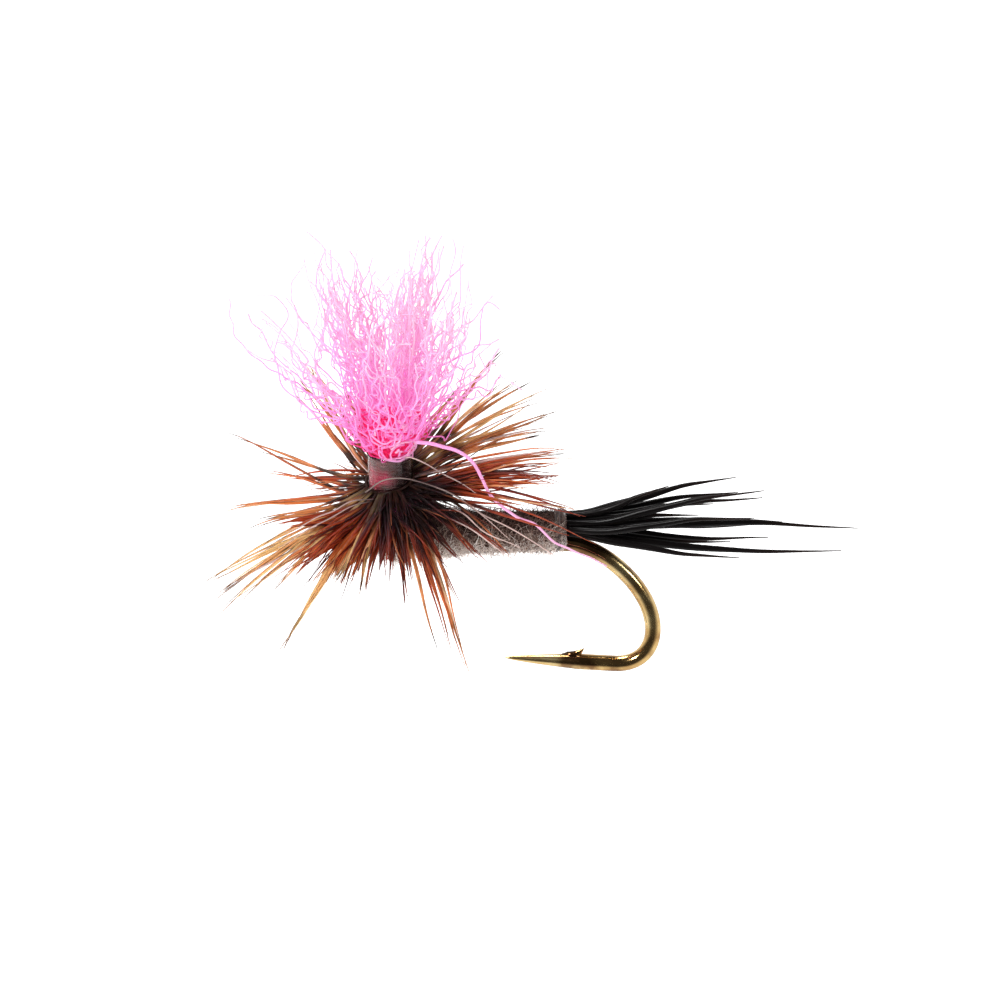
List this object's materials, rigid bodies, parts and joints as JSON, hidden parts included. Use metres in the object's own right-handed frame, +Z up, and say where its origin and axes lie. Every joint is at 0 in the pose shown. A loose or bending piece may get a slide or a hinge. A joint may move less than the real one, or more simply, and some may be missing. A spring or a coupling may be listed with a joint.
{
  "type": "dry fly",
  "caption": "Parachute-style dry fly on a barbed wire hook: hair tail, dubbed fur body, upright bright yarn post and a mixed feather hackle wound round its foot.",
  "frame": {"origin": "centre of the hook's eye", "axes": "+X runs back along the hook shank to the tail, +Y is across the fly, +Z is up the yarn post, away from the hook point"},
  "size_m": [0.0145, 0.0083, 0.0102],
  "materials": {
    "bronzed_wire": "glossy bronze lacquer over carbon steel wire",
    "tying_thread": "waxed dark grey-brown floss thread",
    "moose_hair": null,
    "dubbed_fur": "fuzzy grey underfur, spun on thread",
    "post_yarn": "crinkled translucent hot pink synthetic filaments",
    "brown_feather": null,
    "grizzly_feather": null,
    "head_varnish": "clear glossy head cement"
  },
  "bodies": {
    "root": {"abdomen_dubbing": "dubbed_fur", "brown_hackle": "brown_feather", "grizzly_hackle": "grizzly_feather", "head_cement": "head_varnish", "head_wraps": "tying_thread", "hook": "bronzed_wire", "post_cement": "head_varnish", "post_wraps": "tying_thread", "stray_yarn_filament": "post_yarn", "tail_hair_01": "moose_hair", "tail_hair_02": "moose_hair", "tail_hair_03": "moose_hair", "tail_hair_04": "moose_hair", "tail_hair_05": "moose_hair", "tail_hair_06": "moose_hair", "tail_hair_07": "moose_hair", "tail_hair_08": "moose_hair", "tail_hair_09": "moose_hair", "tail_hair_10": "moose_hair", "tail_hair_11": "moose_hair", "tail_hair_12": "moose_hair", "tail_hair_13": "moose_hair", "tail_hair_14": "moose_hair", "tail_hair_15": "moose_hair", "tail_wraps": "tying_thread", "thorax_dubbing": "dubbed_fur", "thread_base": "tying_thread", "yarn_lock_01": "post_yarn", "yarn_lock_02": "post_yarn", "yarn_lock_03": "post_yarn", "yarn_lock_04": "post_yarn", "yarn_lock_05": "post_yarn", "yarn_lock_06": "post_yarn", "yarn_lock_07": "post_yarn", "yarn_lock_08": "post_yarn", "yarn_lock_09": "post_yarn", "yarn_lock_10": "post_yarn", "yarn_lock_11": "post_yarn", "yarn_lock_12": "post_yarn", "yarn_post": "post_yarn"}
  },
  "joints": []
}
